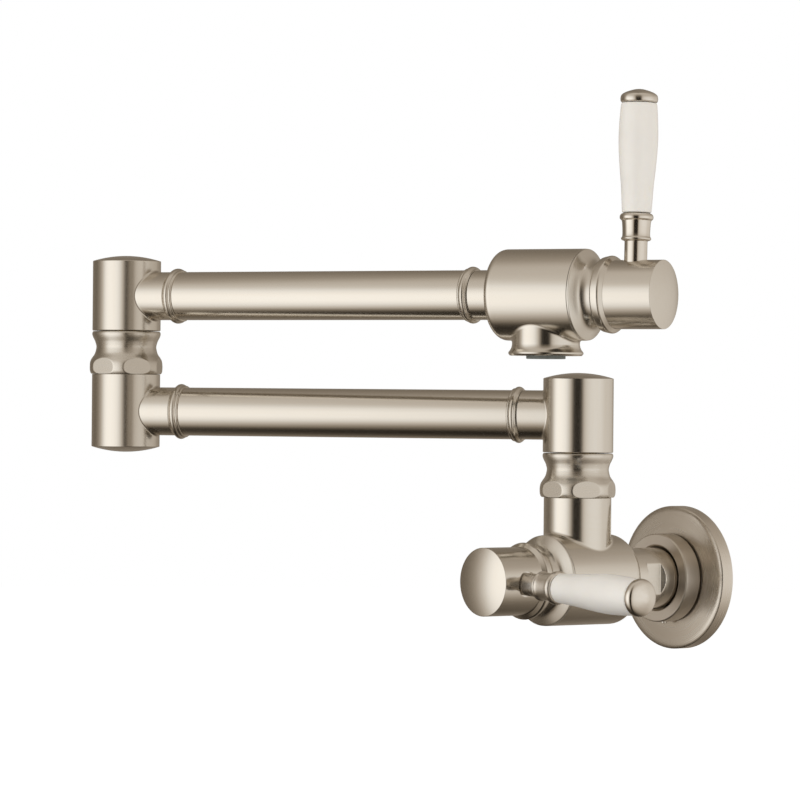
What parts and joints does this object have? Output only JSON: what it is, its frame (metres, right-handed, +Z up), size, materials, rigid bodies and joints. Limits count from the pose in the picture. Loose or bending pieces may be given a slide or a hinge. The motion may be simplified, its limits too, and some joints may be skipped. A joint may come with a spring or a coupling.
{
  "type": "wall mounted pot filler",
  "caption": "Wall mounted pot filler tap: folding double-jointed arm in satin nickel with two turned valves, a wall flange, a downward outlet and white porcelain lever handles.",
  "frame": {"origin": "centre of the wall flange's back face, on the inlet axis, in the plane of the finished wall", "axes": "+Z up; +Y into the wall, so the room is towards -Y; +X to the right along the wall for someone who faces it"},
  "size_m": [0.2963, 0.2092, 0.2475],
  "materials": {
    "satin_nickel": "satin brushed nickel plate on brass",
    "polished_nickel": "polished nickel plate on brass",
    "brass": "bare machined brass",
    "porcelain": "glossy white glaze",
    "disc_ceramic": "lapped alumina",
    "rubber": "black moulded rubber",
    "washer_plastic": "dark low-friction plastic",
    "aerator_plastic": "grey moulded plastic"
  },
  "bodies": {
    "wall_valve": {"escutcheon": "satin_nickel", "wall_gasket": "rubber", "escutcheon_collar": "satin_nickel", "collar_set_screw": "satin_nickel", "inlet_shank": "satin_nickel", "inlet_o_ring": "rubber", "wall_valve_body": "satin_nickel", "wall_cartridge_housing": "brass", "wall_fixed_disc": "disc_ceramic", "wall_cartridge_seal": "rubber", "wall_bonnet_ring": "satin_nickel", "shoulder_swivel_nut": "satin_nickel", "shoulder_thrust_washer": "washer_plastic"},
    "wall_handle": {"wall_handle_hub": "satin_nickel", "wall_lever_stem": "polished_nickel", "wall_lever_grip": "porcelain", "wall_lever_tie_rod": "brass", "wall_lever_cap": "polished_nickel", "wall_cartridge_stem": "brass", "wall_moving_disc": "disc_ceramic", "wall_stem_o_ring": "rubber"},
    "lower_arm": {"shoulder_spigot": "brass", "shoulder_o_ring_lower": "rubber", "shoulder_o_ring_upper": "rubber", "lower_arm_shoulder": "satin_nickel", "lower_arm_bead_shoulder": "satin_nickel", "lower_arm_tube": "satin_nickel", "lower_arm_bead_elbow": "satin_nickel", "lower_arm_elbow": "satin_nickel", "elbow_swivel_nut": "satin_nickel", "elbow_thrust_washer": "washer_plastic"},
    "upper_arm": {"elbow_spigot": "brass", "elbow_o_ring_lower": "rubber", "elbow_o_ring_upper": "rubber", "upper_arm_elbow": "satin_nickel", "upper_arm_bead_elbow": "satin_nickel", "upper_arm_tube": "satin_nickel", "upper_arm_bead_spout": "satin_nickel", "spout_valve_body": "satin_nickel", "spout_cartridge_housing": "brass", "spout_fixed_disc": "disc_ceramic", "spout_cartridge_seal": "rubber", "spout_bonnet_ring": "satin_nickel", "aerator_washer": "rubber", "aerator_housing": "aerator_plastic", "aerator_insert": "aerator_plastic"},
    "spout_handle": {"spout_handle_hub": "satin_nickel", "spout_lever_stem": "polished_nickel", "spout_lever_grip": "porcelain", "spout_lever_tie_rod": "brass", "spout_lever_cap": "polished_nickel", "spout_cartridge_stem": "brass", "spout_moving_disc": "disc_ceramic", "spout_stem_o_ring": "rubber"}
  },
  "joints": [
    {"name": "shoulder_swivel", "type": "hinge", "parent": "wall_valve", "child": "lower_arm", "pos_m": [0, -0.0656, 0.0366], "axis": [0, 0, 1], "range_deg": [-29, 150]},
    {"name": "elbow_swivel", "type": "hinge", "parent": "lower_arm", "child": "upper_arm", "pos_m": [-0.19018, -0.17267, 0.09], "axis": [0, 0, 1], "continuous": true},
    {"name": "wall_handle_turn", "type": "hinge", "parent": "wall_valve", "child": "wall_handle", "pos_m": [0, -0.0656, 0], "axis": [0, 1, 0], "range_deg": [0, 90]},
    {"name": "spout_handle_turn", "type": "hinge", "parent": "upper_arm", "child": "spout_handle", "pos_m": [0.01113, -0.09576, 0.12583], "axis": [0.9341, 0.3569, 0], "range_deg": [0, 90]}
  ]
}
